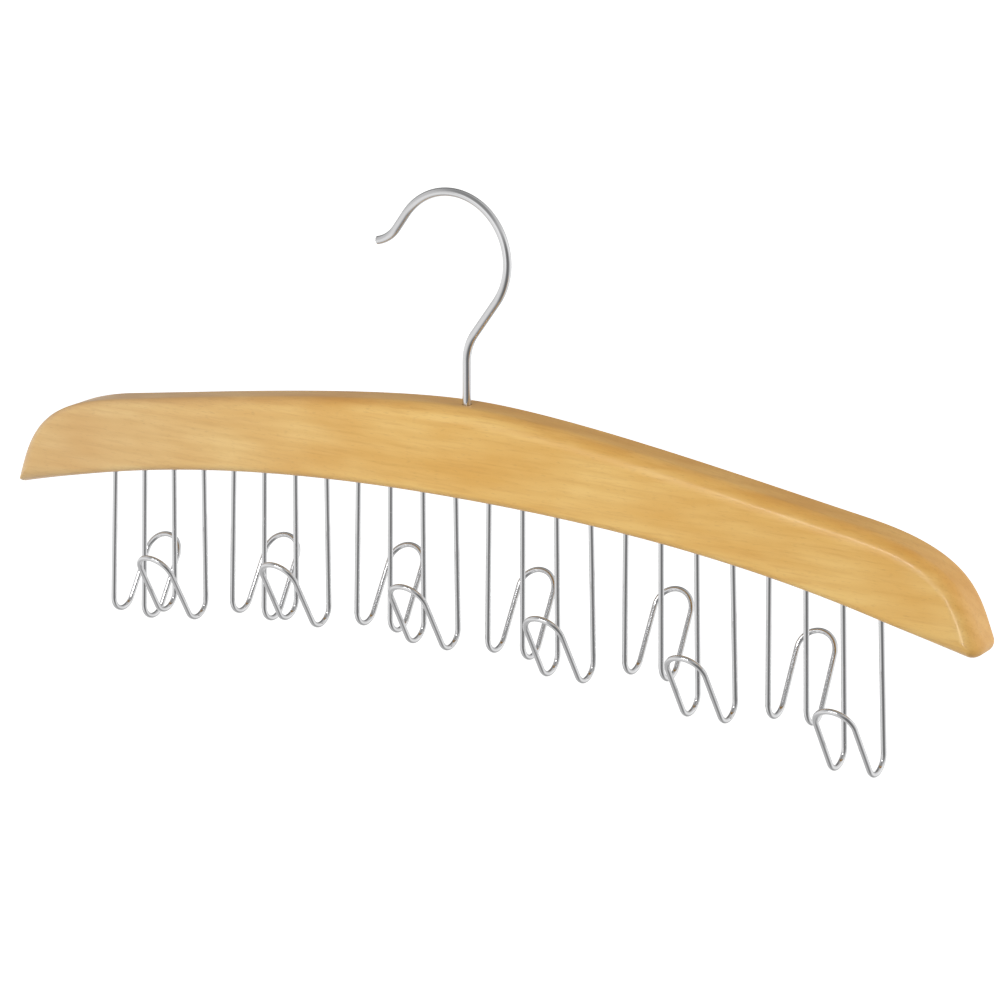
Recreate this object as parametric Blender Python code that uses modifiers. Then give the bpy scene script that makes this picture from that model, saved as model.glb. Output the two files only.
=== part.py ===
# Belt hanger: an arched wooden board on a swivelling wire hook, with twelve bent-wire belt hooks below.
# Metres, +Z up, +X along the board. The origin is where the rail's top lies in the swivel hook, on the
# stem's axis. Rear-facing belt hooks open towards +Y, front-facing ones towards -Y.
from math import ceil, cos, pi, radians, sin, sqrt, tan

import bmesh
import bpy
from mathutils import Matrix, Vector

# Board
BOARD_LENGTH = 0.441
BOARD_HEIGHT = 0.0353  # crest to lower edge at the middle
BOARD_THICKNESS = 0.019
ARRIS_RADIUS = 0.0032
LOWER_EDGE_FALL = 0.0282  # from the middle to the end
LOWER_EDGE_SLOPE = radians(16.3)  # at the end
SHOULDER_REACH = 0.1653  # middle to where the top starts to round over
SHOULDER_DROP = 0.0197
SHOULDER_SLOPE = radians(8.4)
END_SLOPE = radians(68)
TIP_RADIUS = 0.004
SHOULDER_HANDLE_SHARES = (0.27, 0.77)  # of the runs to the crest and to the end
END_HANDLE_SHARE = 0.47  # of the fall from shoulder to tip
OUTLINE_STEPS = 10

# Swivel hook
ROD_TO_BOARD = 0.0781
HOOK_WIRE_RADIUS = 0.00165
HOOK_INSIDE_RADIUS = 0.0233
HOOK_OFFSET = 0.0069  # the crown's centre stands this far from the stem's axis
NECK_RADIUS = 0.019
NECK_TURN = radians(36)
MOUTH_ANGLE = radians(144)
MOUTH_LENGTH = 0.0076
FLARE_RADIUS = 0.0143
FLARE_TURN = radians(42)
TIP_CHAMFER = 0.0004

# How the stem is kept in the board
STEM_CLEARANCE = 0.0003
SEAT_GAP = 0.0003
COUNTERBORE_DEPTH = 0.005
WASHER_LAND = 0.001  # ring width of the washer
WASHER_THICKNESS = 0.0005
HEAD_OVERHANG = 0.0009  # how far the head stands out from the wire
HEAD_HEIGHT = 0.0015
HEAD_STEP = 0.00005  # the height in which the wire widens to the head

# Belt hooks
BELT_HOOK_COUNT = 12
END_TO_BELT_HOOK = 0.0544  # board's end to the middle of the nearest belt hook
LEG_PITCH = 0.0151
ROW_SHIFT = 0.0024  # the row of legs is drilled this far to the right of the stem
BELT_WIRE_RADIUS = 0.0011
LEG_INSERT = 0.014
HOLE_CLEARANCE = 0.0003
HOLE_END_ROOM = 0.001
LEG_DROP = 0.0605  # lower edge to the bottom of the bend
LEG_LEAN = radians(0.9)
LEG_SPLAY = radians(2.8)  # at the board's ends, and less towards the middle
LEG_SPREAD = 0.0004  # how far each leg moves outwards from the lower edge to the bottom of the bend
BEND_RADIUS = 0.0062
RISER_LENGTH = 0.0214
RISER_TILT = radians(30.3)
# How much deeper or less deep each belt hook is pressed in, from the left, as shares of LEG_INSERT
SEATING_SHARES = (-0.17, 0, -0.14, 0.05, -0.05, -0.02, -0.11, -0.1, 0.27, -0.06, 0.36, -0.01)

# Fineness of the meshes
HOOK_ARC_STEP = radians(8)
BELT_ARC_STEP = radians(20)
HOLE_SIDES = 16
TURNED_STEPS = 24
ARRIS_STEPS = 2
HOOK_WIRE_STEPS = 3
BELT_WIRE_STEPS = 2
WELD_DISTANCE = 0.00002
SHARP_ANGLE = radians(35)
CUT_OVERRUN = 0.002

# Colours and surfaces: base colour, roughness, metallic
WOOD = ((0.68, 0.44, 0.17, 1), 0.38, 0)
POLISHED_WIRE = ((0.72, 0.72, 0.73, 1), 0.12, 1)
PLATED_STEEL = ((0.55, 0.56, 0.58, 1), 0.3, 1)


def clear_scene():
    for obj in list(bpy.data.objects):
        bpy.data.objects.remove(obj, do_unlink=True)


def new_collection(name):
    collection = bpy.data.collections.new(name)
    bpy.context.scene.collection.children.link(collection)
    return collection


def new_material(name, finish):
    colour, roughness, metallic = finish
    material = bpy.data.materials.new(name)
    material.use_nodes = True
    shader = material.node_tree.nodes["Principled BSDF"]
    shader.inputs["Base Color"].default_value = colour
    shader.inputs["Roughness"].default_value = roughness
    shader.inputs["Metallic"].default_value = metallic
    material.diffuse_color = colour
    return material


def add_object(name, data, collection, material=None):
    obj = bpy.data.objects.new(name, data)
    collection.objects.link(obj)
    if material is not None and not data.materials:
        data.materials.append(material)
    return obj


# The cutter moves with the object and stays out of renders
def cut(obj, cutter):
    cutter.hide_render = True
    cutter.display_type = "WIRE"
    cutter.parent = obj
    modifier = obj.modifiers.new(cutter.name, "BOOLEAN")
    modifier.object = cutter
    modifier.operation = "DIFFERENCE"
    modifier.solver = "EXACT"


# Height of the board's lower edge above its crest, so it is negative. It is a cubic curve, level at the
# middle, that steepens to LOWER_EDGE_SLOPE at the ends.
def lower_edge(x):
    half = BOARD_LENGTH / 2
    share = abs(x) / half
    steepness = tan(LOWER_EDGE_SLOPE) * half / LOWER_EDGE_FALL
    return -BOARD_HEIGHT - LOWER_EDGE_FALL * ((3 - steepness) * share**2 + (steepness - 2) * share**3)


# Bezier points of the right half, crest to the middle of the lower edge: point, handle in, handle out
def half_outline():
    half = BOARD_LENGTH / 2
    crest = Vector((0, 0))
    shoulder = Vector((SHOULDER_REACH, -SHOULDER_DROP))
    shoulder_way = Vector((cos(SHOULDER_SLOPE), -sin(SHOULDER_SLOPE)))
    crest_handle = Vector((SHOULDER_HANDLE_SHARES[0] * SHOULDER_REACH, 0))
    shoulder_in = shoulder - shoulder_way * SHOULDER_HANDLE_SHARES[0] * SHOULDER_REACH
    shoulder_out = shoulder + shoulder_way * SHOULDER_HANDLE_SHARES[1] * (half - SHOULDER_REACH)

    corner = Vector((half, lower_edge(half)))
    end_way = Vector((cos(END_SLOPE), -sin(END_SLOPE)))
    edge_way = Vector((-cos(LOWER_EDGE_SLOPE), sin(LOWER_EDGE_SLOPE)))
    turn = pi - (-end_way).angle(edge_way)
    tangent = TIP_RADIUS * sin(turn / 2) / cos(turn / 2)
    handle = TIP_RADIUS * 4 / 3 * sin(turn / 4) / cos(turn / 4)
    end = corner - end_way * tangent
    end_in = end - end_way * END_HANDLE_SHARE * (shoulder.y - end.y)
    tip = corner + edge_way * tangent

    middle = Vector((0, -BOARD_HEIGHT))
    edge_handle = tip.x / 3
    tip_out = tip + edge_way * edge_handle / cos(LOWER_EDGE_SLOPE)
    return (
        (crest, crest - crest_handle, crest + crest_handle),
        (shoulder, shoulder_in, shoulder_out),
        (end, end_in, end + end_way * handle),
        (tip, tip - edge_way * handle, tip_out),
        (middle, middle + Vector((edge_handle, 0)), middle - Vector((edge_handle, 0))),
    )


# The closed outline: the right half, then the inner points mirrored with their handles swapped
def full_outline():
    right = half_outline()
    flip = Vector((-1, 1))
    left = [(point * flip, out * flip, into * flip) for point, into, out in right[-2:0:-1]]
    return list(right) + left


def board_mesh():
    curve = bpy.data.curves.new("board_outline", "CURVE")
    curve.dimensions = "2D"
    curve.fill_mode = "BOTH"
    curve.extrude = BOARD_THICKNESS / 2 - ARRIS_RADIUS
    curve.bevel_depth = ARRIS_RADIUS
    curve.offset = -ARRIS_RADIUS
    curve.bevel_resolution = ARRIS_STEPS
    curve.resolution_u = OUTLINE_STEPS
    spline = curve.splines.new("BEZIER")
    outline = full_outline()
    spline.bezier_points.add(len(outline) - 1)
    spline.use_cyclic_u = True
    for place, (point, handle_in, handle_out) in zip(spline.bezier_points, outline):
        place.co = point.to_3d()
        place.handle_left = handle_in.to_3d()
        place.handle_right = handle_out.to_3d()
    return welded_mesh(curve, Matrix.Rotation(pi / 2, 4, "X"))


# A curve made a closed mesh, so that it can be cut
def welded_mesh(curve, turn):
    guide = bpy.data.objects.new(curve.name, curve)
    bpy.context.scene.collection.objects.link(guide)
    bpy.context.view_layer.update()
    mesh = bpy.data.meshes.new_from_object(guide.evaluated_get(bpy.context.evaluated_depsgraph_get()))
    bpy.data.objects.remove(guide, do_unlink=True)
    mesh.transform(turn)
    work = bmesh.new()
    work.from_mesh(mesh)
    bmesh.ops.remove_doubles(work, verts=work.verts, dist=WELD_DISTANCE)
    bmesh.ops.recalc_face_normals(work, faces=work.faces)
    work.to_mesh(mesh)
    work.free()
    mesh.shade_smooth()
    mesh.set_sharp_from_angle(angle=SHARP_ANGLE)
    return mesh


# Points of a wire bent in one plane. Each run is a length with no turn, or a radius and a turn.
def bent_path(start, heading, runs, arc_step):
    points = [Vector(start)]
    for size, turn in runs:
        steps = max(1, ceil(abs(turn) / arc_step))
        bit = turn / steps
        chord = 2 * size * sin(abs(bit) / 2) if turn else size
        for _ in range(steps):
            heading += bit / 2
            points.append(points[-1] + chord * Vector((cos(heading), sin(heading))))
            heading += bit / 2
    return points


def wire_curve(name, points, wire_radius, resolution, thickness=None):
    curve = bpy.data.curves.new(name, "CURVE")
    curve.dimensions = "3D"
    curve.bevel_depth = wire_radius
    curve.bevel_resolution = resolution
    curve.use_fill_caps = True
    spline = curve.splines.new("POLY")
    spline.points.add(len(points) - 1)
    for i, point in enumerate(points):
        spline.points[i].co = (*point, 1)
        spline.points[i].radius = thickness[i] if thickness else 1
    return curve


# Heights on the stem, from the board's crest down
def stem_seat():
    return -BOARD_HEIGHT + COUNTERBORE_DEPTH


def washer_top():
    return stem_seat() - SEAT_GAP


def head_top():
    return washer_top() - WASHER_THICKNESS - SEAT_GAP


# The stem rises from its head through the board, bends at the neck, runs straight up to the crown, and
# goes over it and down a straight run to the flared tip
def swivel_hook_curve():
    crown_radius = HOOK_INSIDE_RADIUS + HOOK_WIRE_RADIUS
    crown_height = -sqrt(HOOK_INSIDE_RADIUS**2 - HOOK_OFFSET**2)
    neck_reach = NECK_RADIUS * (1 - cos(NECK_TURN))
    neck_run = (crown_radius * cos(NECK_TURN) - HOOK_OFFSET - neck_reach) / sin(NECK_TURN)
    neck_height = crown_height - (NECK_RADIUS + crown_radius) * sin(NECK_TURN) - neck_run * cos(NECK_TURN)
    head = head_top() - ROD_TO_BOARD
    runs = (
        (neck_height - head, 0),
        (NECK_RADIUS, -NECK_TURN),
        (neck_run, 0),
        (crown_radius, NECK_TURN + MOUTH_ANGLE),
        (MOUTH_LENGTH, 0),
        (FLARE_RADIUS, -FLARE_TURN),
    )
    path = bent_path((0, head), pi / 2, runs, HOOK_ARC_STEP)
    tip_way = (path[-1] - path[-2]).normalized()
    path.insert(-1, path[-1] - tip_way * TIP_CHAMFER)
    head_share = 1 + HEAD_OVERHANG / HOOK_WIRE_RADIUS
    chamfer_share = 1 - TIP_CHAMFER / HOOK_WIRE_RADIUS
    foot = [
        Vector((0, head - HEAD_HEIGHT)),
        Vector((0, head - HEAD_HEIGHT + HEAD_OVERHANG / 2)),
        Vector((0, head - HEAD_STEP)),
    ]
    thickness = [1, head_share, head_share] + [1] * (len(path) - 1) + [chamfer_share]
    points = [Vector((x, 0, z)) for x, z in foot + path]
    return wire_curve("swivel_hook", points, HOOK_WIRE_RADIUS, HOOK_WIRE_STEPS, thickness)


# One leg's side view: down out of the board, round the bend and up the riser
def leg_profile():
    straight = (LEG_DROP - BEND_RADIUS * (1 + sin(LEG_LEAN))) / cos(LEG_LEAN)
    path = bent_path((0, LEG_INSERT), -pi / 2, ((LEG_INSERT, 0),), BELT_ARC_STEP)
    runs = ((straight, 0), (BEND_RADIUS, pi - RISER_TILT + LEG_LEAN), (RISER_LENGTH, 0))
    return path + bent_path(path[-1], -pi / 2 - LEG_LEAN, runs, BELT_ARC_STEP)[1:]


# A belt hook seen from the lower edge of the board: two legs, two risers and the arch that joins them
def belt_hook_curve():
    side = [Vector((LEG_PITCH / 2 + LEG_SPREAD * max(0, -z) / LEG_DROP, y, z)) for y, z in leg_profile()]
    points = [place * Vector((-1, 1, 1)) for place in side]
    half = side[-1].x
    riser_way = Vector((0, sin(RISER_TILT), cos(RISER_TILT)))
    steps = ceil(pi / BELT_ARC_STEP)
    for i in range(1, steps):
        angle = pi * i / steps
        points.append(side[-1] + riser_way * half * sin(angle) - Vector((half * (1 + cos(angle)), 0, 0)))
    points += side[::-1]
    return wire_curve("belt_hook", points, BELT_WIRE_RADIUS, BELT_WIRE_STEPS)


# The inner two belt hooks stand clear of the stem, and the rest are spread evenly out to the board's ends
def hook_middle(index):
    half_count = BELT_HOOK_COUNT // 2
    spacing = (BOARD_LENGTH / 2 - END_TO_BELT_HOOK - LEG_PITCH) / (half_count - 1)
    if index < half_count:
        return ROW_SHIFT - LEG_PITCH - spacing * (half_count - 1 - index)
    return ROW_SHIFT + LEG_PITCH + spacing * (index - half_count)


# Where a belt hook enters the board, turned about Y so that its foot leans outwards
def belt_hook_entry(index):
    middle = hook_middle(index)
    splay = LEG_SPLAY * middle / (BOARD_LENGTH / 2)
    return Matrix.Translation((middle, 0, lower_edge(middle))) @ Matrix.Rotation(-splay, 4, "Y")


def leg_hole_mesh():
    mesh = bpy.data.meshes.new("leg_holes")
    work = bmesh.new()
    depth = LEG_INSERT * (1 + max(SEATING_SHARES)) + HOLE_END_ROOM
    for index in range(BELT_HOOK_COUNT):
        for x in (-LEG_PITCH / 2, LEG_PITCH / 2):
            place = belt_hook_entry(index) @ Matrix.Translation((x, 0, (depth - CUT_OVERRUN) / 2))
            bmesh.ops.create_cone(
                work,
                cap_ends=True,
                segments=HOLE_SIDES,
                radius1=BELT_WIRE_RADIUS + HOLE_CLEARANCE,
                radius2=BELT_WIRE_RADIUS + HOLE_CLEARANCE,
                depth=depth + CUT_OVERRUN,
                matrix=place,
            )
    work.to_mesh(mesh)
    work.free()
    return mesh


# A profile of (radius, height) pairs turned about Z
def turned_object(name, profile, closed, collection, material=None):
    mesh = bpy.data.meshes.new(name)
    work = bmesh.new()
    corners = [work.verts.new((radius, 0, height)) for radius, height in profile]
    for first, second in zip(corners, corners[1:]):
        work.edges.new((first, second))
    if closed:
        work.edges.new((corners[-1], corners[0]))
    work.to_mesh(mesh)
    work.free()
    obj = add_object(name, mesh, collection, material)
    screw = obj.modifiers.new("turn", "SCREW")
    screw.steps = TURNED_STEPS
    screw.render_steps = TURNED_STEPS
    screw.use_merge_vertices = True
    screw.merge_threshold = WELD_DISTANCE
    screw.use_smooth_shade = False
    return obj


def build():
    clear_scene()
    parts = new_collection("belt_hanger")
    cutters = new_collection("cutters")
    crest = Vector((0, 0, -ROD_TO_BOARD))

    wood = new_material("board_wood", WOOD)
    board = add_object("board", board_mesh(), parts, wood)
    board.location = crest

    cut(board, add_object("leg_holes", leg_hole_mesh(), cutters))

    bore = HOOK_WIRE_RADIUS + STEM_CLEARANCE
    washer_radius = bore + WASHER_LAND
    recess = washer_radius + STEM_CLEARANCE
    below = -BOARD_HEIGHT - CUT_OVERRUN
    stem_profile = ((0, CUT_OVERRUN), (bore, CUT_OVERRUN), (bore, stem_seat()), (recess, stem_seat()),
                    (recess, below), (0, below))
    cut(board, turned_object("stem_hole", stem_profile, False, cutters))

    add_object("swivel_hook", swivel_hook_curve(), parts, new_material("hook_wire", POLISHED_WIRE))

    top, bottom = washer_top(), washer_top() - WASHER_THICKNESS
    ring = ((bore, top), (washer_radius, top), (washer_radius, bottom), (bore, bottom))
    washer = turned_object("stem_washer", ring, True, parts, new_material("washer_steel", PLATED_STEEL))
    washer.location = crest

    belt_wire = new_material("belt_hook_wire", POLISHED_WIRE)
    belt_hook = belt_hook_curve()
    for index in range(BELT_HOOK_COUNT):
        hook = add_object(f"belt_hook_{index + 1:02d}", belt_hook, parts, belt_wire)
        hook.parent = board
        seating = Matrix.Translation((0, 0, LEG_INSERT * SEATING_SHARES[index]))
        facing = Matrix.Rotation(pi * (index % 2), 4, "Z")
        hook.matrix_local = belt_hook_entry(index) @ seating @ facing


build()
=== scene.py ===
from math import ceil, cos, pi, radians, sin, sqrt, tan

import bmesh
import bpy
from mathutils import Matrix, Vector
from mathutils.geometry import interpolate_bezier


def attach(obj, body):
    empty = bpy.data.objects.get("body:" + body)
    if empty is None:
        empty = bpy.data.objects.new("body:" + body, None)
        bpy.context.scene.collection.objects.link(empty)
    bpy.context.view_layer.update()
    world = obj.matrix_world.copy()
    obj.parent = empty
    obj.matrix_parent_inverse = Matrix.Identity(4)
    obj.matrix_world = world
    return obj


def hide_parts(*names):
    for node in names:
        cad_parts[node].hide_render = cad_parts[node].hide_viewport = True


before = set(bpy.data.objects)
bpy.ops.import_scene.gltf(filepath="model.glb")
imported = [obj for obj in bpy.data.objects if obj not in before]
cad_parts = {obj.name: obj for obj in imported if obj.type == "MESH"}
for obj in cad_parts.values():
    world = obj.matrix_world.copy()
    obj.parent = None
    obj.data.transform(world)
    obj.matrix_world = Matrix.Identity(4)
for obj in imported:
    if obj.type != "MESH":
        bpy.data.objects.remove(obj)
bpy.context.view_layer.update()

# Belt hanger for a wardrobe rail, in metres. +X runs along the board, and the belt hooks that
# face the rear open towards +Y.
railToBoard = 0.0781  # top of the rail down to the board's crest
perMetre = 1000  # millimetres, in which the sizes of patterns are given


# sRGB hex colour to linear light
def linear(hexColour):
    parts = [int(hexColour[i:i + 2], 16) / 255 for i in (1, 3, 5)]
    return (*[c / 12.92 if c <= 0.04045 else ((c + 0.055) / 1.055) ** 2.4 for c in parts], 1)


# Adds a node. An input that is given a socket is linked to it, and any other value is set.
def addNode(tree, kind, inputs=None, **settings):
    node = tree.nodes.new(kind)
    for name, value in settings.items():
        setattr(node, name, value)
    for name, value in (inputs or {}).items():
        if isinstance(value, bpy.types.NodeSocket):
            tree.links.new(value, node.inputs[name])
        else:
            node.inputs[name].default_value = value
    return node


def startMaterial(name):
    material = bpy.data.materials.new(name)
    material.use_nodes = True
    return material, material.node_tree, material.node_tree.nodes["Principled BSDF"]


def showObject(name, data):
    obj = bpy.data.objects.new(name, data)
    bpy.context.scene.collection.objects.link(obj)
    return obj


def evaluatedMesh(obj):
    bpy.context.view_layer.update()
    evaluated = obj.evaluated_get(bpy.context.evaluated_depsgraph_get())
    return bpy.data.meshes.new_from_object(evaluated)


# Runs a Geometry Nodes tree on an object and keeps the result as its plain mesh
def bakeTree(obj, tree, values):
    modifier = obj.modifiers.new(tree.name, "NODES")
    modifier.node_group = tree
    for item in tree.interface.items_tree:
        if item.in_out == "INPUT" and item.name in values:
            modifier[item.identifier] = values[item.name]
    mesh = evaluatedMesh(obj)
    obj.modifiers.remove(modifier)
    obj.data = mesh


def shadeByAngle(mesh, angle):
    mesh.shade_smooth()
    mesh.set_sharp_from_angle(angle=radians(angle))


# Points of a wire bent in one plane. Each run is a length with no turn, or a radius and a turn.
def bentPath(start, heading, runs, arcStep):
    points = [Vector(start)]
    for size, turn in runs:
        steps = max(1, ceil(abs(turn) / arcStep))
        bit = turn / steps
        chord = 2 * size * sin(abs(bit) / 2) if turn else size
        for _ in range(steps):
            heading += bit / 2
            points.append(points[-1] + chord * Vector((cos(heading), sin(heading))))
            heading += bit / 2
    return points


# The line that a wire follows, as an object that the wire tree reads
def routeObject(name, points, thickness=None):
    curve = bpy.data.curves.new(name, "CURVE")
    curve.dimensions = "3D"
    spline = curve.splines.new("POLY")
    spline.points.add(len(points) - 1)
    for i, point in enumerate(points):
        spline.points[i].co = (*point, 1)
        spline.points[i].radius = thickness[i] if thickness else 1
    return showObject(name, curve)


# A point for each place where a tree puts a wire or a drill, with its turn as XYZ angles
def seatObject(name, places):
    mesh = bpy.data.meshes.new(name)
    mesh.from_pydata([place.to_translation() for place in places], [], [])
    turns = mesh.attributes.new("turn", "FLOAT_VECTOR", "POINT")
    for i, place in enumerate(places):
        turns.data[i].vector = place.to_euler()
    return showObject(name, mesh)


def startTree(name, sockets):
    tree = bpy.data.node_groups.new(name, "GeometryNodeTree")
    tree.interface.new_socket("Geometry", in_out="OUTPUT", socket_type="NodeSocketGeometry")
    for label, kind in sockets.items():
        tree.interface.new_socket(label, in_out="INPUT", socket_type=kind)
    return tree, tree.nodes.new("NodeGroupInput").outputs


# Copies a mesh to the points of a seat object, each turned as its point says
def seatCopies(tree, seats, shape):
    turn = addNode(tree, "GeometryNodeInputNamedAttribute", {"Name": "turn"},
                   data_type="FLOAT_VECTOR")
    rotation = addNode(tree, "FunctionNodeEulerToRotation", {0: turn.outputs["Attribute"]})
    copies = addNode(tree, "GeometryNodeInstanceOnPoints", {
        "Points": seats, "Instance": shape, "Rotation": rotation.outputs[0]})
    real = addNode(tree, "GeometryNodeRealizeInstances", {"Geometry": copies.outputs["Instances"]})
    return real.outputs["Geometry"]


def endTree(tree, geometry, finish):
    finished = addNode(tree, "GeometryNodeSetMaterial", {"Geometry": geometry, "Material": finish})
    addNode(tree, "NodeGroupOutput", {"Geometry": finished.outputs["Geometry"]})
    return tree


def wireTree():
    tree, given = startTree("bentWire", {
        "Seats": "NodeSocketGeometry",
        "Route": "NodeSocketObject",
        "Wire radius": "NodeSocketFloat",
        "Sides": "NodeSocketInt",
        "Finish": "NodeSocketMaterial",
    })
    route = addNode(tree, "GeometryNodeObjectInfo", {"Object": given["Route"]},
                    transform_space="ORIGINAL")
    ring = addNode(tree, "GeometryNodeCurvePrimitiveCircle", {
        "Resolution": given["Sides"], "Radius": given["Wire radius"]}, mode="RADIUS")
    wire = addNode(tree, "GeometryNodeCurveToMesh", {
        "Curve": route.outputs["Geometry"], "Profile Curve": ring.outputs["Curve"],
        "Fill Caps": True})
    return endTree(tree, seatCopies(tree, given["Seats"], wire.outputs["Mesh"]), given["Finish"])


# Drills the leg holes at the points of "Leg holes", then the stem's counterbore and its bore
def drillTree():
    tree, given = startTree("drilledBoard", {
        "Blank": "NodeSocketGeometry",
        "Leg holes": "NodeSocketObject",
        "Leg hole radius": "NodeSocketFloat",
        "Leg hole depth": "NodeSocketFloat",
        "Stem bore radius": "NodeSocketFloat",
        "Counterbore radius": "NodeSocketFloat",
        "Counterbore depth": "NodeSocketFloat",
        "Board height": "NodeSocketFloat",
        "Lower edge": "NodeSocketFloat",
        "Sides": "NodeSocketInt",
        "Finish": "NodeSocketMaterial",
    })
    seats = addNode(tree, "GeometryNodeObjectInfo", {"Object": given["Leg holes"]},
                    transform_space="ORIGINAL")
    legDrill = addNode(tree, "GeometryNodeMeshCylinder", {
        "Vertices": given["Sides"], "Radius": given["Leg hole radius"],
        "Depth": given["Leg hole depth"]})
    tools = [seatCopies(tree, seats.outputs["Geometry"], legDrill.outputs["Mesh"])]

    # These two stand across the lower edge: half below it, half in the board or right through
    edgePlace = addNode(tree, "ShaderNodeCombineXYZ", {"Z": given["Lower edge"]})
    for radius, reach, factor in (("Counterbore radius", "Counterbore depth", 2.0),
                                  ("Stem bore radius", "Board height", 3.0)):
        depth = addNode(tree, "ShaderNodeMath", {0: given[reach], 1: factor},
                        operation="MULTIPLY")
        drill = addNode(tree, "GeometryNodeMeshCylinder", {
            "Vertices": given["Sides"], "Radius": given[radius], "Depth": depth.outputs[0]})
        placed = addNode(tree, "GeometryNodeTransform", {
            "Geometry": drill.outputs["Mesh"], "Translation": edgePlace.outputs[0]})
        tools.append(placed.outputs["Geometry"])

    drilled = given["Blank"]
    for tool in tools:
        drilled = addNode(tree, "GeometryNodeMeshBoolean", {"Mesh 1": drilled, "Mesh 2": tool},
                          operation="DIFFERENCE", solver="EXACT").outputs["Mesh"]
    real = addNode(tree, "GeometryNodeRealizeInstances", {"Geometry": drilled})
    return endTree(tree, real.outputs["Geometry"], given["Finish"])


# Camera where the photograph was taken from
cameraSizes = {
    "azimuth": 32.63,  # degrees, round from the front
    "elevation": 16.12,
    "distance": 1.3167,
    "lens": 125.1,  # millimetres, as the sensor is
    "sensor": 36,
    "aim": (0.01486, 0, -0.11342),
}


def bearing(azimuth, elevation):
    a, e = radians(azimuth), radians(elevation)
    return Vector((sin(a) * cos(e), -cos(a) * cos(e), sin(e)))


def placeCamera(sizes):
    camera = showObject("camera", bpy.data.cameras.new("camera"))
    camera.data.lens = sizes["lens"]
    camera.data.sensor_width = sizes["sensor"]
    way = bearing(sizes["azimuth"], sizes["elevation"])
    camera.location = Vector(sizes["aim"]) + way * sizes["distance"]
    camera.rotation_mode = "QUATERNION"
    camera.rotation_quaternion = (-way).to_track_quat("-Z", "Y")
    bpy.context.scene.camera = camera


placeCamera(cameraSizes)
print("camera placed")


# Board: beech, sawn to an arch, its edges rounded over and the whole clear-lacquered
boardSizes = {
    "length": 0.441,
    "height": 0.0353,
    "thickness": 0.019,
    "arris": 0.0032,  # rounding of the long edges
    "crestArris": 0.0067,  # and of the top's front edge
    # from the middle to where that rounding begins to fade, and to where it has
    "crestArrisTo": {"left": (0.12, 0.2), "right": (0.17, 0.215)},
    "frontEndArris": 0.009,  # the ends are sanded rounder too, most of all at the front
    "rearEndArris": 0.0049,
    "endArrisFrom": 0.18,  # from the middle to where the edges start to round more
    "endArrisEase": 1.5,  # above 1 it comes in slowly
    "lowerEdgeFall": 0.0282,  # from the middle to the end
    "lowerEdgeSlope": radians(16.3),  # at the end
    "shoulderReach": 0.1653,
    "shoulderDrop": 0.0197,
    "shoulderSlope": radians(8.4),
    "shoulderHandles": (0.27, 0.775),
    "endSlope": radians(68.2),
    "endHandle": 0.468,
    "rightTipRadius": 0.0042,
    "leftTipRadius": 0.0019,
    "leastTipRadius": 0.0001,
    # crest to shoulder, on to the end, round the tip, back under the board
    "outlineSteps": (60, 32, 14, 60),
    "arrisSteps": 8,
    "weldWithin": 0.00001,
    "smoothAngle": 30,
    "holeSides": 32,
    "legHoleRoom": 0.0001,  # holes are a little wider than the wires in them
    "legHoleFoot": 0.001,  # and this much deeper than the longest leg goes
    "stemRoom": 0.00025,
    "counterboreRadius": 0.00325,
    "counterboreDepth": 0.005,
}


# Height of the lower edge over the board's crest: level at the middle, steeper towards the ends
def lowerEdge(x):
    half = boardSizes["length"] / 2
    share = abs(x) / half
    steepness = tan(boardSizes["lowerEdgeSlope"]) * half / boardSizes["lowerEdgeFall"]
    fall = (3 - steepness) * share**2 + (steepness - 2) * share**3
    return -boardSizes["height"] - boardSizes["lowerEdgeFall"] * fall


# A half's outline, set in all round, from the crest over the end to the middle of the lower edge
def halfOutline(sizes, tipRadius, inset):
    half = sizes["length"] / 2
    reach = sizes["shoulderReach"]
    inShare, outShare = sizes["shoulderHandles"]
    shoulderWay = Vector((cos(sizes["shoulderSlope"]), -sin(sizes["shoulderSlope"])))
    endWay = Vector((cos(sizes["endSlope"]), -sin(sizes["endSlope"])))
    edgeWay = Vector((-cos(sizes["lowerEdgeSlope"]), sin(sizes["lowerEdgeSlope"])))

    crest = Vector((0, -inset))
    shoulderInset = Vector((shoulderWay.y, -shoulderWay.x)) * inset
    shoulder = Vector((reach, -sizes["shoulderDrop"])) + shoulderInset
    turn = pi - (-endWay).angle(edgeWay)
    mitre = (edgeWay - endWay).normalized() * inset / cos(turn / 2)
    corner = Vector((half, lowerEdge(half))) + mitre
    radius = max(tipRadius - inset, sizes["leastTipRadius"])
    tangent = radius * tan(turn / 2)
    handle = radius * 4 / 3 * tan(turn / 4)  # makes a Bezier curve a round arc
    end = corner - endWay * tangent
    tip = corner + edgeWay * tangent
    middle = Vector((0, -sizes["height"] + inset))
    edgeHandle = tip.x / 3
    knots = (
        (crest, crest + Vector((inShare * reach, 0)),
         shoulder - shoulderWay * inShare * reach, shoulder),
        (shoulder, shoulder + shoulderWay * outShare * (half - reach),
         end - endWay * sizes["endHandle"] * (shoulder.y - end.y), end),
        (end, end + endWay * handle, tip - edgeWay * handle, tip),
        (tip, tip - edgeWay * (edgeHandle / edgeWay.x), middle + Vector((edgeHandle, 0)), middle),
    )
    points = []
    for (start, startHandle, finishHandle, finish), steps in zip(knots, sizes["outlineSteps"]):
        points += interpolate_bezier(start, startHandle, finishHandle, finish, steps + 1)[:-1]
    return points, middle


# The whole outline, clockwise from the crest as seen from the front
def boardOutline(sizes, inset):
    right, middle = halfOutline(sizes, sizes["rightTipRadius"], inset)
    left, _ = halfOutline(sizes, sizes["leftTipRadius"], inset)
    return right + [middle] + [Vector((-point.x, point.y)) for point in left[:0:-1]]


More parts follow.
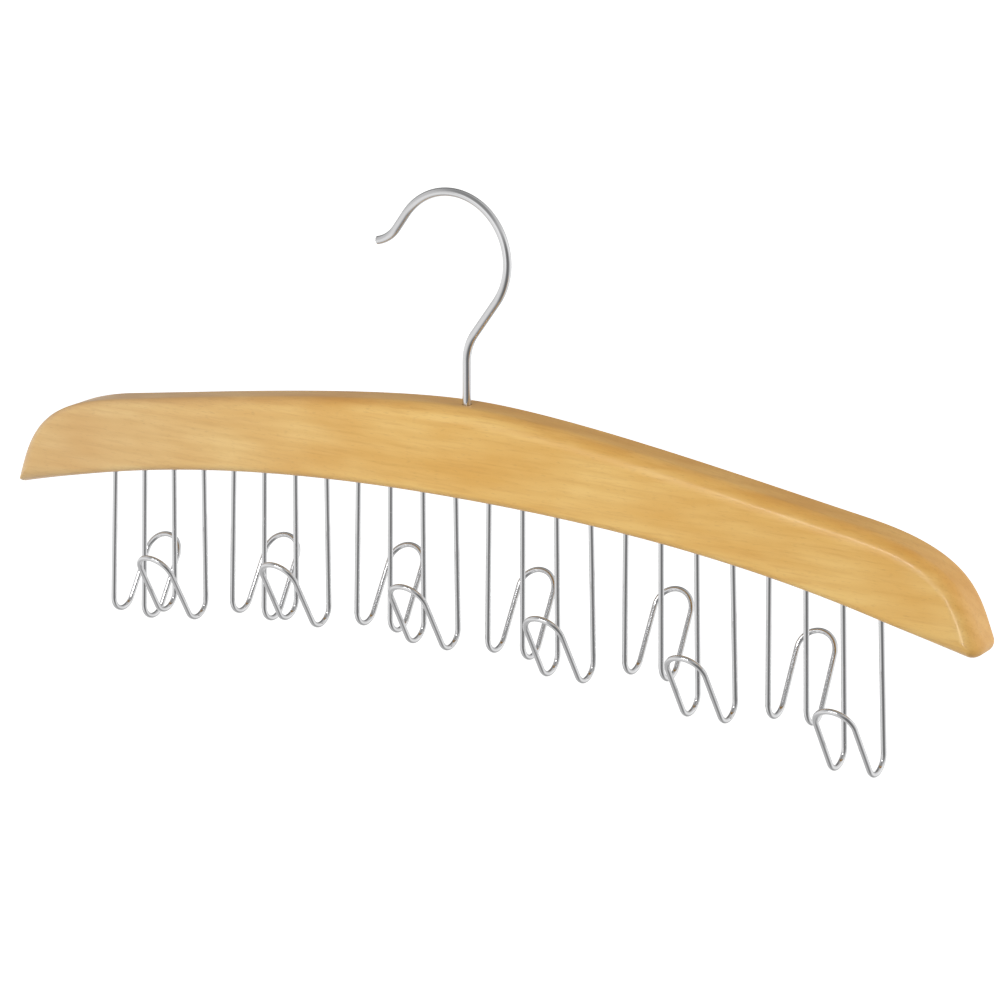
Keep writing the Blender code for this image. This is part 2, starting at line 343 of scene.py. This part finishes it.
# Eases a share in from 0 and out to 1
def smooth(share):
    share = min(1, max(0, share))
    return share * share * (3 - 2 * share)


# One ring of the rounded edge. At a turn of 0 it lies on the rim, and at 90 degrees on the
# flat face.
def arrisRing(sizes, endArris, facing, turn):
    arris = sizes["arris"]
    crestArris = sizes["crestArris"]
    endFrom = sizes["endArrisFrom"]
    half = sizes["length"] / 2
    plain, crested, sanded = [
        boardOutline(sizes, radius * (1 - cos(turn))) for radius in (arris, crestArris, endArris)]
    ring = []
    for usual, crest, end in zip(plain, crested, sanded):
        toEnd = max(0, abs(usual.x) - endFrom) / (half - endFrom)
        endShare = min(1, toEnd)**sizes["endArrisEase"]
        frontTop = facing < 0 and usual.y > lowerEdge(usual.x) + sizes["height"] / 2
        fadeFrom, fadeTo = sizes["crestArrisTo"]["left" if usual.x < 0 else "right"]
        crestShare = smooth((fadeTo - abs(usual.x)) / (fadeTo - fadeFrom)) if frontTop else 0
        place = usual + (end - usual) * endShare + (crest - usual) * crestShare
        radius = arris + (endArris - arris) * endShare + (crestArris - arris) * crestShare
        y = sizes["thickness"] / 2 - radius * (1 - sin(turn))
        ring.append(Vector((place.x, facing * y, place.y - railToBoard)))
    return ring


def boardBlank(sizes):
    turns = [pi / 2 * i / sizes["arrisSteps"] for i in range(sizes["arrisSteps"] + 1)]
    rings = [arrisRing(sizes, sizes["frontEndArris"], -1, turn) for turn in reversed(turns)]
    rings += [arrisRing(sizes, sizes["rearEndArris"], 1, turn) for turn in turns]
    work = bmesh.new()
    corners = [[work.verts.new(place) for place in ring] for ring in rings]
    for front, rear in zip(corners, corners[1:]):
        for i in range(len(front)):
            work.faces.new((front[i - 1], front[i], rear[i], rear[i - 1]))
    work.faces.new(corners[0])
    work.faces.new(reversed(corners[-1]))
    bmesh.ops.remove_doubles(work, verts=work.verts, dist=sizes["weldWithin"])
    bmesh.ops.recalc_face_normals(work, faces=work.faces)
    mesh = bpy.data.meshes.new("archedBoard")
    work.to_mesh(mesh)
    work.free()
    return mesh


# Clear-lacquered beech, sawn and sanded: pale orange-yellow and greyer at the left end, with
# faint growth rings, short fine streaks and ray flecks along the board, painted shade that makes
# the rounded edges and top deeper and more orange, and a satin film over it all
beechLooks = {
    "deep": "#D9A650",
    "pale": "#E6BE71",
    "ring": "#D29C47",
    "streak": "#C89143",
    "fleck": "#B07D40",
    # pattern values at which each colour starts and is full, and its share over those before it
    "cover": {
        "pale": (0.3, 0.7, 1.0),
        "ring": (0.4, 1.0, 0.25),
        "streak": (0.5, 0.75, 0.35),
        "fleck": (0.6, 0.75, 0.25),
    },
    # millimetres along and across the grain, detail, and an offset that keeps them unlike
    "noise": {
        "pale": (40, 12, 2.0, 3.0),
        "streak": (16, 0.9, 3.0, 7.0),
        "fleck": (3.2, 0.5, 1.0, 11.0),  # real ones are about 0.3 wide, drawn coarser to show
    },
    "ringSpacing": 5.0,  # millimetres, as the pith's place is
    "ringWaver": {"Distortion": 2.5, "Detail": 2.0, "Detail Scale": 0.5},
    "pithPlace": (0, 45, 175),
    "pithTurn": (0, radians(2.5), radians(1.5)),
    "edge": "#FCF0DF",  # painted shade, multiplied in where the surface turns away from the faces
    "edgeShadeFacing": (0.4, 0.96),  # the normal's Y where that is full, and where it starts
    "drift": (-0.2, 0.0),  # metres along the board, over which the next two come up
    "saturation": (0.885, 1.01),
    "brightness": (0.985, 1.07),
    "roughness": (0.36, 0.48),
    "grainBump": 0.12,  # strength of the streaks' relief, and its depth in metres
    "grainDepth": 0.0003,
    "coat": 0.25,  # the lacquer film
    "coatRoughness": 0.13,
}
wavePeriod = 0.314  # from ring to ring in the wave texture at a scale of 1


def lacqueredBeech(looks):
    material, tree, shader = startMaterial("clearLacqueredBeech")
    coordinates = addNode(tree, "ShaderNodeTexCoord").outputs
    place = coordinates["Object"]

    patterns = {}
    for name, (along, across, detail, offset) in looks["noise"].items():
        scaled = addNode(tree, "ShaderNodeMapping", {
            "Vector": place, "Location": (offset, offset, offset),
            "Scale": (perMetre / along, perMetre / across, perMetre / across)})
        patterns[name] = addNode(tree, "ShaderNodeTexNoise", {
            "Vector": scaled.outputs[0], "Scale": 1.0, "Detail": detail}).outputs["Fac"]
    pith = addNode(tree, "ShaderNodeMapping", {
        "Vector": place, "Rotation": looks["pithTurn"], "Location": looks["pithPlace"],
        "Scale": (perMetre, perMetre, perMetre)})
    patterns["ring"] = addNode(tree, "ShaderNodeTexWave", {
        "Vector": pith.outputs[0], "Scale": wavePeriod / looks["ringSpacing"],
        **looks["ringWaver"]}, wave_type="RINGS", rings_direction="X").outputs["Fac"]

    # The Mix node's colours are its inputs 6 and 7 and its output 2
    colour = linear(looks["deep"])
    for name, (start, full, share) in looks["cover"].items():
        cover = addNode(tree, "ShaderNodeMapRange", {
            "Value": patterns[name], "From Min": start, "From Max": full, "To Max": share})
        colour = addNode(tree, "ShaderNodeMix", {
            0: cover.outputs["Result"], 6: colour, 7: linear(looks[name])},
            data_type="RGBA").outputs[2]

    # Painted shade: where the surface turns away from the front and back faces, over the rounded
    # edges and the top, the colour is multiplied darker and more orange
    turned = addNode(tree, "ShaderNodeSeparateXYZ", {0: coordinates["Normal"]}).outputs["Y"]
    facing = addNode(tree, "ShaderNodeMath", {0: turned}, operation="ABSOLUTE").outputs[0]
    edgeShadeShare = addNode(tree, "ShaderNodeMapRange", {
        "Value": facing, "From Min": looks["edgeShadeFacing"][0], "From Max": looks["edgeShadeFacing"][1],
        "To Min": 1.0, "To Max": 0.0}, interpolation_type="SMOOTHSTEP")
    colour = addNode(tree, "ShaderNodeMix", {
        0: edgeShadeShare.outputs["Result"], 6: colour, 7: linear(looks["edge"])},
        data_type="RGBA", blend_type="MULTIPLY").outputs[2]

    along = addNode(tree, "ShaderNodeSeparateXYZ", {0: place}).outputs["X"]
    tone = {"Color": colour}
    for name, socket in (("saturation", "Saturation"), ("brightness", "Value")):
        tone[socket] = addNode(tree, "ShaderNodeMapRange", {
            "Value": along, "From Min": looks["drift"][0], "From Max": looks["drift"][1],
            "To Min": looks[name][0], "To Max": looks[name][1]},
            interpolation_type="SMOOTHSTEP").outputs["Result"]
    toned = addNode(tree, "ShaderNodeHueSaturation", tone)
    tree.links.new(toned.outputs["Color"], shader.inputs["Base Color"])

    roughness = addNode(tree, "ShaderNodeMapRange", {
        "Value": patterns["pale"], "To Min": looks["roughness"][0],
        "To Max": looks["roughness"][1]})
    tree.links.new(roughness.outputs["Result"], shader.inputs["Roughness"])
    bump = addNode(tree, "ShaderNodeBump", {
        "Height": patterns["streak"], "Strength": looks["grainBump"],
        "Distance": looks["grainDepth"]})
    tree.links.new(bump.outputs["Normal"], shader.inputs["Normal"])
    shader.inputs["Coat Weight"].default_value = looks["coat"]
    shader.inputs["Coat Roughness"].default_value = looks["coatRoughness"]
    return material


# Bright nickel-plated steel wire, drawn then bent: mirror-bright with a very slight unevenness
# in the plating. Patches are in millimetres.
wireLooks = {"metal": "#CFCFD0", "smooth": 0.07, "rough": 0.13, "patch": 6, "detail": 3.0}

# Zinc-plated pressed steel: duller and bluish, with a fine grain
zincLooks = {"metal": "#B4B8BC", "smooth": 0.28, "rough": 0.42, "patch": 0.6, "detail": 2.0}


# Both are bare plating, and differ in tone and in the size and depth of their uneven gloss
def platedSteel(name, looks):
    material, tree, shader = startMaterial(name)
    place = addNode(tree, "ShaderNodeTexCoord").outputs["Object"]
    patches = addNode(tree, "ShaderNodeTexNoise", {
        "Vector": place, "Scale": perMetre / looks["patch"], "Detail": looks["detail"]})
    roughness = addNode(tree, "ShaderNodeMapRange", {
        "Value": patches.outputs["Fac"], "To Min": looks["smooth"], "To Max": looks["rough"]})
    tree.links.new(roughness.outputs["Result"], shader.inputs["Roughness"])
    shader.inputs["Base Color"].default_value = linear(looks["metal"])
    shader.inputs["Metallic"].default_value = 1
    return material


# Twelve belt hooks of 2.2 mm wire, facing rear and front in turn
beltHookSizes = {
    "count": 12,
    "legPitch": 0.0151,
    "rowShift": 0.0024,
    "wireRadius": 0.0011,
    "insert": 0.014,
    "drop": 0.0605,
    "lean": radians(0.9),
    "splay": radians(2.8),  # at the board's ends, and less towards the middle
    "spread": 0.0004,  # how far each leg moves outwards from the board to its bottom
    "bendRadius": 0.0062,
    "riserLength": 0.0214,
    "riserTilt": radians(30.3),
    # how much deeper in the wood than the insert each one sits, as a share of it
    "seatings": (-0.17, 0, -0.14, 0.05, -0.05, -0.02, -0.11, -0.1, 0.27, -0.06, 0.36, -0.01),
    "arcStep": radians(6),
    "sides": 16,
    "smoothAngle": 40,
}


# Where a belt hook enters the board, turned so that its foot leans outwards
def beltHookEntry(sizes, index):
    middle = sizes["rowShift"] + (index - (sizes["count"] - 1) / 2) * 2 * sizes["legPitch"]
    splay = sizes["splay"] * middle / (boardSizes["length"] / 2)
    place = Matrix.Translation((middle, 0, lowerEdge(middle) - railToBoard))
    return place @ Matrix.Rotation(-splay, 4, "Y")


# Two legs, two risers and the arch that joins them, seen from the board's lower edge
def beltHookRoute(sizes):
    lean, tilt, bend = sizes["lean"], sizes["riserTilt"], sizes["bendRadius"]
    straight = (sizes["drop"] - bend * (1 + sin(lean))) / cos(lean)
    runs = ((straight, 0), (bend, pi - tilt + lean), (sizes["riserLength"], 0))
    profile = [(0, sizes["insert"])] + bentPath((0, 0), -pi / 2 - lean, runs, sizes["arcStep"])
    right = []
    for y, z in profile:
        outwards = sizes["spread"] * max(0, -z) / sizes["drop"]
        right.append(Vector((sizes["legPitch"] / 2 + outwards, y, z)))
    half = right[-1].x
    riserWay = Vector((0, sin(tilt), cos(tilt)))
    steps = ceil(pi / sizes["arcStep"])
    arch = []
    for i in range(1, steps):
        angle = pi * i / steps
        across = Vector((half * (1 + cos(angle)), 0, 0))
        arch.append(right[-1] + riserWay * half * sin(angle) - across)
    return [place * Vector((-1, 1, 1)) for place in right] + arch + right[::-1]


def makeBoard(sizes, hooks, material):
    depth = hooks["insert"] * (1 + max(hooks["seatings"])) + sizes["legHoleFoot"]
    seats = seatObject("legHoleSeats", [
        beltHookEntry(hooks, index) @ Matrix.Translation((side * hooks["legPitch"] / 2, 0, 0))
        for index in range(hooks["count"]) for side in (-1, 1)])
    piece = showObject("archedBoard", boardBlank(sizes))
    bakeTree(piece, drillTree(), {
        "Leg holes": seats,
        "Leg hole radius": hooks["wireRadius"] + sizes["legHoleRoom"],
        "Leg hole depth": 2 * depth,
        "Stem bore radius": swivelHookSizes["wireRadius"] + sizes["stemRoom"],
        "Counterbore radius": sizes["counterboreRadius"],
        "Counterbore depth": sizes["counterboreDepth"],
        "Board height": sizes["height"],
        "Lower edge": -railToBoard - sizes["height"],
        "Sides": sizes["holeSides"],
        "Finish": material,
    })
    bpy.data.objects.remove(seats)
    shadeByAngle(piece.data, sizes["smoothAngle"])
    # Keeps the flat faces flat beside the rounded edges
    weighted = piece.modifiers.new("flatFaces", "WEIGHTED_NORMAL")
    weighted.keep_sharp = True
    mesh = evaluatedMesh(piece)
    piece.modifiers.remove(weighted)
    piece.data = mesh
    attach(piece, "hanger")
    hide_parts("board")
    print("board drilled and lacquered:", len(mesh.polygons), "faces")
    return piece


# Swivel hook of 3.3 mm wire, from the head under the board up the stem and over the crown to
# the cut tip
swivelHookSizes = {
    "wireRadius": 0.00165,
    "insideRadius": 0.0233,
    "offset": 0.0069,  # the crown's middle stands this far left of the stem
    "neckRadius": 0.019,
    "neckTurn": radians(36),
    "mouthAngle": radians(144),
    "mouthLength": 0.0076,
    "flareRadius": 0.0143,
    "flareTurn": radians(42),
    # the cut end is upset a little, and eased: shares of the swelling's length back from the
    # end, with the wire's thickness there
    "tipSwell": 0.0015,
    "tipRings": ((1.2, 1), (0.8, 1.1), (0.45, 1.18), (0.2, 1.14), (0.06, 1)),
    "tipEnd": 0.8,
    "headTop": -0.0314,  # over the board's crest
    "headHeight": 0.0015,
    "headOverhang": 0.0009,
    # the upset head: shares of its height, with its width there as a share of the widest
    "headRings": ((0.15, 0.94), (0.3, 1), (0.85, 1), (0.97, 0.95)),
    "headFoot": 1.2,  # thickness of its lower end, as a share of the wire's
    "arcStep": radians(2),
    "sides": 28,
    "smoothAngle": 40,
}


def swivelHookRoute(sizes):
    radius = sizes["wireRadius"]
    neckTurn = sizes["neckTurn"]
    crownRadius = sizes["insideRadius"] + radius
    crownHeight = -sqrt(sizes["insideRadius"]**2 - sizes["offset"]**2)
    neckReach = sizes["neckRadius"] * (1 - cos(neckTurn))
    neckRun = (crownRadius * cos(neckTurn) - sizes["offset"] - neckReach) / sin(neckTurn)
    neckFall = (sizes["neckRadius"] + crownRadius) * sin(neckTurn)
    neckHeight = crownHeight - neckFall - neckRun * cos(neckTurn)
    head = sizes["headTop"] - railToBoard
    runs = (
        (neckHeight - head, 0),
        (sizes["neckRadius"], -neckTurn),
        (neckRun, 0),
        (crownRadius, neckTurn + sizes["mouthAngle"]),
        (sizes["mouthLength"], 0),
        (sizes["flareRadius"], -sizes["flareTurn"]),
    )
    path = bentPath((0, head), pi / 2, runs, sizes["arcStep"])
    tipWay = (path[-1] - path[-2]).normalized()
    wide = 1 + sizes["headOverhang"] / radius
    rings = [(0, sizes["headFoot"])] + [(up, wide * share) for up, share in sizes["headRings"]]
    foot = [Vector((0, head + sizes["headHeight"] * (up - 1))) for up, _ in rings]
    tip = [path[-1] - tipWay * sizes["tipSwell"] * back for back, _ in sizes["tipRings"]]
    points = foot + path[:-1] + tip + [path[-1]]
    thickness = [share for _, share in rings] + [1] * (len(path) - 1)
    thickness += [share for _, share in sizes["tipRings"]] + [sizes["tipEnd"]]
    return [Vector((x, 0, z)) for x, z in points], thickness


def makeSwivelHook(sizes, material, tree):
    route = routeObject("swivelHookRoute", *swivelHookRoute(sizes))
    piece = seatObject("platedSwivelHook", [Matrix()])
    bakeTree(piece, tree, {
        "Route": route, "Wire radius": sizes["wireRadius"], "Sides": sizes["sides"],
        "Finish": material})
    bpy.data.objects.remove(route)
    shadeByAngle(piece.data, sizes["smoothAngle"])
    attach(piece, "hook")
    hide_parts("swivel_hook")
    print("swivel hook bent:", len(piece.data.polygons), "faces")


def makeBeltHooks(sizes, material, tree):
    route = routeObject("beltHookRoute", beltHookRoute(sizes))
    seats = []
    for index, seating in enumerate(sizes["seatings"]):
        lift = Matrix.Translation((0, 0, sizes["insert"] * seating))
        facing = Matrix.Rotation(pi * (index % 2), 4, "Z")
        seats.append(beltHookEntry(sizes, index) @ lift @ facing)
    piece = seatObject("platedBeltHooks", seats)
    bakeTree(piece, tree, {
        "Route": route, "Wire radius": sizes["wireRadius"], "Sides": sizes["sides"],
        "Finish": material})
    bpy.data.objects.remove(route)
    shadeByAngle(piece.data, sizes["smoothAngle"])
    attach(piece, "hanger")
    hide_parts(*[f"belt_hook_{index + 1:02d}" for index in range(sizes["count"])])
    print("belt hooks bent:", len(piece.data.polygons), "faces")
    return piece


# Washer between the head and the board, pressed from sheet, so its edges are a little rounded
washerSizes = {
    "innerRadius": 0.00195,
    "outerRadius": 0.00295,
    "top": -0.0306,  # over the board's crest
    "thickness": 0.0005,
    "easing": 0.00012,
    "steps": 48,
    "smoothAngle": 50,
}


def makeWasher(sizes, material):
    inner, outer, ease = sizes["innerRadius"], sizes["outerRadius"], sizes["easing"]
    top = sizes["top"] - railToBoard
    bottom = top - sizes["thickness"]
    # The section's four corners, each eased by two short flats from its start angle in degrees
    section = []
    for x, z, start in (
            (outer, top, 90), (outer, bottom, 0), (inner, bottom, -90), (inner, top, -180)):
        centre = Vector((x - ease if x == outer else x + ease, z - ease if z == top else z + ease))
        for angle in (start, start - 45, start - 90):
            section.append(centre + ease * Vector((cos(radians(angle)), sin(radians(angle)))))
    corners, faces = [], []
    count, steps = len(section), sizes["steps"]
    for step in range(steps):
        turn = 2 * pi * step / steps
        corners += [(x * cos(turn), x * sin(turn), z) for x, z in section]
        here, there = step * count, (step + 1) % steps * count
        for i in range(count):
            after = (i + 1) % count
            faces.append((here + i, here + after, there + after, there + i))
    mesh = bpy.data.meshes.new("zincedWasher")
    mesh.from_pydata(corners, [], faces)
    mesh.materials.append(material)
    shadeByAngle(mesh, sizes["smoothAngle"])
    piece = showObject("zincedWasher", mesh)
    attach(piece, "hook")
    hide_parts("stem_washer")
    print("washer pressed:", len(mesh.polygons), "faces")


nickel = platedSteel("brightNickelPlatedWire", wireLooks)
wires = wireTree()
pieces = {
    "board": makeBoard(boardSizes, beltHookSizes, lacqueredBeech(beechLooks)),
    "beltHooks": makeBeltHooks(beltHookSizes, nickel, wires),
}
makeSwivelHook(swivelHookSizes, nickel, wires)
makeWasher(washerSizes, platedSteel("zincPlatedSteel", zincLooks))


# Studio: a white floor far below the hanger, soft light, and a tent that only its gloss sees
studioSizes = {
    "floorHeight": -1.7,
    "floorSize": 80,
    "floorColour": "#F2F2F0",
    "floorRoughness": 0.9,
    "floorGlow": 0.75,
    "ambient": (0.56, 0.4),  # at the horizon and overhead
    "lampDistance": 1.4,
    # azimuth and elevation each lamp shines from, its sides in metres and its watts
    "softboxes": {
        "keySoftbox": {"from": (-9.5, 22), "size": (0.9, 0.66), "power": 10.2},
        "sideSoftbox": {"from": (115, 10), "size": (1, 1), "power": 8},
    },
    # each seen only in the gloss of one piece: along the rounded edges, and in the wires' bends
    "glints": {
        "arrisGlint": {"on": "board", "from": (-3, 35), "size": (0.64, 0.1), "power": 3.8},
        "endGlint": {"on": "board", "from": (30, 2), "size": (0.14, 0.8), "power": 5.5},
        "bendGlint": {"on": "beltHooks", "from": (-4, 34), "size": (0.9, 0.1), "power": 3},
    },
}

# Softly lit walls of the tent, where each patch lies and how much lighter or darker it is than
# the rest
tentSizes = {
    "centre": (0, 0, -0.1),
    "radius": 1.55,
    "subdivisions": 5,
    "level": 0.82,
    # azimuth, elevation, angles from there to its outer rim and to its even middle, level added
    "patches": (
        (62, -20, 64, 22, -0.6),
        (-126, -63, 63, 18, -0.45),
        (-4, 65, 56, 12, -0.46),
        (-72, -46, 63, 42, 0.3),
        (-9.5, 8, 24, 19, 0.45),
        (116, -6, 52, 18, 0.45),
        (-148, -32, 46, 16, 0.4),
        (-140, 30, 46, 22, -0.54),
    ),
}


# A factor of 1 for rays that look straight at the background, by way of a mirror or of clear
# glass too
def seenDirectly(tree):
    path = addNode(tree, "ShaderNodeLightPath").outputs
    share = path["Is Camera Ray"]
    for ray in ("Is Glossy Ray", "Is Transmission Ray"):
        share = addNode(tree, "ShaderNodeMath", {0: share, 1: path[ray]},
                        operation="MAXIMUM").outputs[0]
    return share


def makeWorld(sizes):
    world = bpy.data.worlds.new("studio")
    bpy.context.scene.world = world
    world.use_nodes = True
    tree = world.node_tree
    way = addNode(tree, "ShaderNodeTexCoord").outputs["Generated"]
    height = addNode(tree, "ShaderNodeSeparateXYZ", {0: way}).outputs["Z"]
    horizon, overhead = sizes["ambient"]
    ambient = addNode(tree, "ShaderNodeMapRange", {
        "Value": height, "To Min": horizon, "To Max": overhead})
    level = addNode(tree, "ShaderNodeMix", {
        0: seenDirectly(tree), 2: ambient.outputs["Result"], 3: 1.0}, data_type="FLOAT")
    background = tree.nodes["Background"]
    background.inputs["Color"].default_value = linear("#FFFFFF")
    tree.links.new(level.outputs[0], background.inputs["Strength"])


def makeFloor(sizes):
    reach = sizes["floorSize"] / 2
    height = sizes["floorHeight"]
    corners = [(x * reach, y * reach, height) for x, y in ((-1, -1), (1, -1), (1, 1), (-1, 1))]
    mesh = bpy.data.meshes.new("floor")
    mesh.from_pydata(corners, [], [(0, 1, 2, 3)])
    material, tree, shader = startMaterial("whitePaperSweep")
    shader.inputs["Base Color"].default_value = linear(sizes["floorColour"])
    shader.inputs["Roughness"].default_value = sizes["floorRoughness"]
    shader.inputs["Emission Color"].default_value = linear("#FFFFFF")
    glow = addNode(tree, "ShaderNodeMath", {0: seenDirectly(tree), 1: sizes["floorGlow"]},
                   operation="MULTIPLY")
    tree.links.new(glow.outputs[0], shader.inputs["Emission Strength"])
    mesh.materials.append(material)
    showObject("floor", mesh)


# A round tent that is seen in the wire and the lacquer, but throws no light or shadow
def makeTent(sizes):
    mesh = bpy.data.meshes.new("tent")
    work = bmesh.new()
    bmesh.ops.create_icosphere(work, subdivisions=sizes["subdivisions"], radius=sizes["radius"],
                               matrix=Matrix.Translation(sizes["centre"]))
    work.to_mesh(mesh)
    work.free()
    material, tree, shader = startMaterial("tentCloth")
    place = addNode(tree, "ShaderNodeTexCoord").outputs["Object"]
    fromCentre = addNode(tree, "ShaderNodeVectorMath", {0: place, 1: sizes["centre"]},
                         operation="SUBTRACT")
    way = addNode(tree, "ShaderNodeVectorMath", {0: fromCentre.outputs[0]},
                  operation="NORMALIZE").outputs[0]
    level = sizes["level"]
    for azimuth, elevation, outer, inner, added in sizes["patches"]:
        nearness = addNode(tree, "ShaderNodeVectorMath", {
            0: way, 1: bearing(azimuth, elevation)}, operation="DOT_PRODUCT").outputs["Value"]
        patch = addNode(tree, "ShaderNodeMapRange", {
            "Value": nearness, "From Min": cos(radians(outer)), "From Max": cos(radians(inner)),
            "To Max": added}, interpolation_type="SMOOTHSTEP")
        level = addNode(tree, "ShaderNodeMath", {0: level, 1: patch.outputs["Result"]},
                        operation="ADD").outputs[0]
    shader.inputs["Base Color"].default_value = linear("#000000")
    shader.inputs["Specular IOR Level"].default_value = 0
    shader.inputs["Emission Color"].default_value = linear("#FFFFFF")
    tree.links.new(level, shader.inputs["Emission Strength"])
    mesh.materials.append(material)
    obj = showObject("tent", mesh)
    obj.visible_camera = False
    obj.visible_diffuse = False
    obj.visible_shadow = False
    obj.visible_transmission = False


def makeLamp(name, sizes):
    lamp = bpy.data.lights.new(name, "AREA")
    lamp.shape = "RECTANGLE"
    lamp.size, lamp.size_y = sizes["size"]
    lamp.energy = sizes["power"]
    obj = showObject(name, lamp)
    way = bearing(*sizes["from"])
    obj.location = Vector(tentSizes["centre"]) + way * studioSizes["lampDistance"]
    obj.rotation_mode = "QUATERNION"
    obj.rotation_quaternion = (-way).to_track_quat("-Z", "Y")
    obj.visible_camera = False
    return obj


makeWorld(studioSizes)
makeFloor(studioSizes)
makeTent(tentSizes)
for name, sizes in studioSizes["softboxes"].items():
    makeLamp(name, sizes).visible_glossy = False
for name, sizes in studioSizes["glints"].items():
    lamp = makeLamp(name, sizes)
    lamp.visible_diffuse = False
    lit = bpy.data.collections.new(name)
    lit.objects.link(pieces[sizes["on"]])
    lamp.light_linking.receiver_collection = lit
bpy.context.scene.view_settings.view_transform = "Standard"
print("studio set up")
